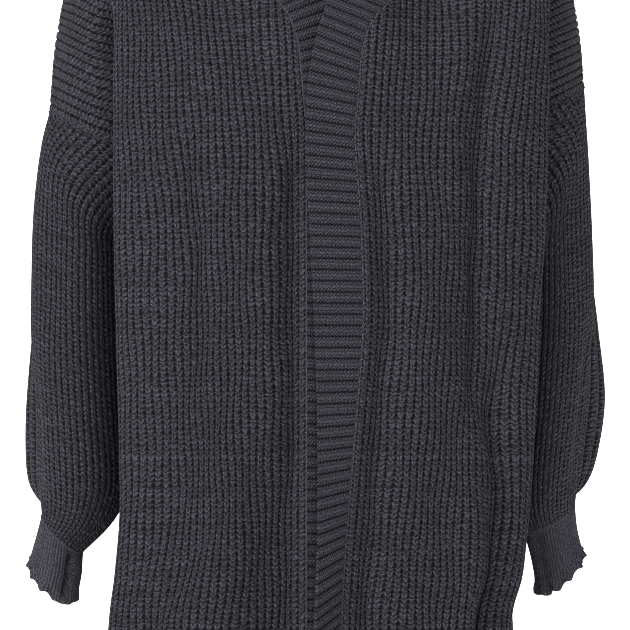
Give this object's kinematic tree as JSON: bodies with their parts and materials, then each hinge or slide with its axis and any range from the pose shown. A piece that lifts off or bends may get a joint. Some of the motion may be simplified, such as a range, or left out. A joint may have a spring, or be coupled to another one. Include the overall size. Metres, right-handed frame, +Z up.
{
  "type": "duster cardigan",
  "caption": "Long ribbed knit duster cardigan with drop shoulders, a crosswise-ribbed front band and balloon sleeves gathered into fluted cuffs, for wear over other clothes.",
  "frame": {"origin": "inside the neck, between the high shoulder points, where the wearer's shoulders carry the cloth", "axes": "+Z up, -Y is the way the wearer faces, +X towards the wearer's left"},
  "size_m": [0.6018, 0.3171, 1.0782],
  "materials": {
    "body_knit": "matt half-cardigan rib knit, charcoal",
    "band_knit": "matt crosswise rib knit, charcoal",
    "cuff_knit": "fine rib knit, charcoal"
  },
  "bodies": {
    "root": {"back": "body_knit", "front_right": "body_knit", "front_left": "body_knit", "band": "band_knit", "sleeve_right": "body_knit", "sleeve_left": "body_knit", "cuff_right": "cuff_knit", "cuff_left": "cuff_knit"}
  },
  "joints": []
}
